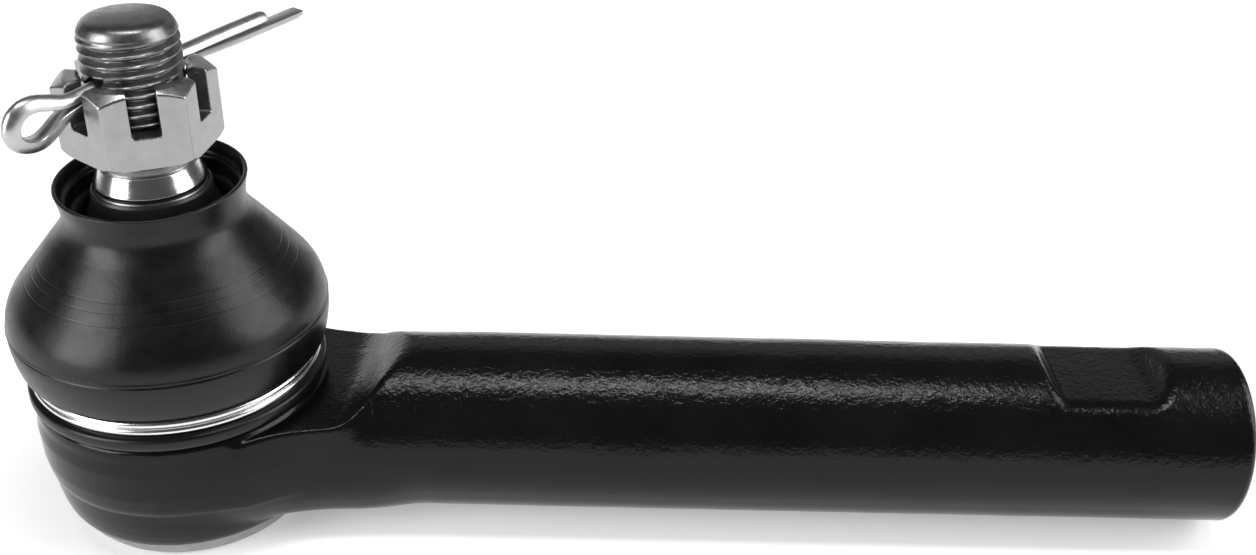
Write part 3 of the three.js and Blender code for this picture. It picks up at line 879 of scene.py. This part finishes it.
collar = lathe_object("stud_collar", fillet([
    (7.32, 41.9, 0.1), (8.65, 41.9, 0.15), (8.65, 43.6, 0.2), (8.45, 44.6, 0.3), (8.1, 45.2, 0.3), (7.62, 45.7, 0.4), (7.5, 47.6, 0.2), (7.3, 48.0, 0.15), (7.12, 48.0, 0.05)]), COLLAR, 160)
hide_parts("boot_neck_ring")
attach(collar, "boot_neck")


# ---------------------------------------------------------------- wire clip
def build_clip():
    """Two full turns of round wire, crossing from one turn to the next at the back."""
    wire, seg = 0.50, 18
    turns = 2.06
    a0 = math.radians(78)
    n = int(150 * turns)
    pts = []
    for i in range(n + 1):
        t = turns * i / n
        a = a0 + 2 * math.pi * t
        f = np.clip((t - 0.95) / 0.14, 0, 1)
        f = f * f * (3 - 2 * f)
        z = 22.36 + 1.05 * f
        pts.append((18.37 * math.cos(a), 18.37 * math.sin(a), z))
    pts = np.array(pts)
    rings = []
    for i in range(len(pts)):
        a, b = pts[max(0, i - 1)], pts[min(len(pts) - 1, i + 1)]
        t = (b - a) / np.linalg.norm(b - a)
        side = np.cross(t, [0, 0, 1])
        side /= np.linalg.norm(side)
        up = np.cross(side, t)
        e = min(i, len(pts) - 1 - i)
        w = wire * (1.0 if e > 1 else (0.93 if e == 1 else 0.72))
        q = 2 * np.pi * np.arange(seg) / seg
        rings.append(pts[i] + w * (np.cos(q)[:, None] * side + np.sin(q)[:, None] * up))
    return sweep("boot_wire_clip", None, rings, WIRE, sharp=50.0)


clip = build_clip()
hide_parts("boot_clip_ring")
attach(clip, "housing")


# ---------------------------------------------------------------- floor, light, camera
def floor():
    me = bpy.data.meshes.new("floor")
    s = 3.0
    h = -0.0002                                                # just under the closing plate
    me.from_pydata([(-s, -s, h), (s, -s, h), (s, s, h), (-s, s, h)], [], [(0, 1, 2, 3)])
    m = bpy.data.materials.new("studio_floor")
    m.use_nodes = True
    b = m.node_tree.nodes["Principled BSDF"]
    b.inputs["Base Color"].default_value = (0.86, 0.86, 0.86, 1)
    b.inputs["Roughness"].default_value = 0.9
    b.inputs["Specular IOR Level"].default_value = 0.1
    b.inputs["Emission Color"].default_value = (1, 1, 1, 1)
    b.inputs["Emission Strength"].default_value = 0.34
    me.materials.append(m)
    ob = bpy.data.objects.new("floor", me)
    bpy.context.scene.collection.objects.link(ob)


floor()


def area(name, loc, target, size, power, size_y=None):
    li = bpy.data.lights.new(name, "AREA")
    li.shape = "RECTANGLE"
    li.size, li.size_y = size, size_y or size
    li.energy = power
    ob = bpy.data.objects.new(name, li)
    bpy.context.scene.collection.objects.link(ob)
    ob.location = loc
    d = Vector(target) - Vector(loc)
    ob.rotation_euler = d.to_track_quat("-Z", "Y").to_euler()
    return ob


area("overhead", (0.06, -0.10, 0.75), (0.06, -0.01, 0.0), 0.50, 2.4, 0.10)
area("left", (-0.58, -0.46, 0.36), (0.0, 0.0, 0.03), 0.46, 6.0, 0.62)
area("right", (0.69, -0.02, 0.38), (0.02, 0.0, 0.03), 0.46, 4.2, 0.62)
area("back", (0.00, 0.75, 0.38), (0.05, 0.0, 0.02), 1.20, 0.55, 0.40)
area("back_left", (-0.55, 0.80, 0.16), (0.0, 0.0, 0.02), 0.60, 0.7, 0.30)

world = bpy.data.worlds.new("studio")
world.use_nodes = True
world.node_tree.nodes["Background"].inputs[0].default_value = (1, 1, 1, 1)
world.node_tree.nodes["Background"].inputs[1].default_value = 0.08
bpy.context.scene.world = world


def camera():
    e, roll, az = math.radians(30.0307), math.radians(-1.5333), math.radians(0.4812)
    c, s = math.cos(az), math.sin(az)
    Rz = np.array([[c, -s, 0], [s, c, 0], [0, 0, 1]])
    c, s = math.cos(e), math.sin(e)
    Rx = np.array([[1, 0, 0], [0, c, -s], [0, s, c]])
    c, s = math.cos(roll), math.sin(roll)
    Rr = np.array([[c, 0, -s], [0, 1, 0], [s, 0, c]])
    R = Rr @ Rx @ Rz
    cols = [R.T @ [1, 0, 0], R.T @ [0, 0, 1], -(R.T @ [0, 1, 0])]
    M = Matrix.Identity(4)
    for k in range(3):
        for i in range(3):
            M[i][k] = float(cols[k][i])
    M.translation = Vector((0.05919, -0.15938, 0.12761))
    cam = bpy.data.cameras.new("camera")
    cam.sensor_fit = "HORIZONTAL"
    cam.sensor_width = 36.0
    cam.lens = 40.23
    cam.clip_start = 0.01
    ob = bpy.data.objects.new("camera", cam)
    ob.matrix_world = M
    bpy.context.scene.collection.objects.link(ob)
    bpy.context.scene.camera = ob


camera()
bpy.context.scene.view_settings.view_transform = "Standard"
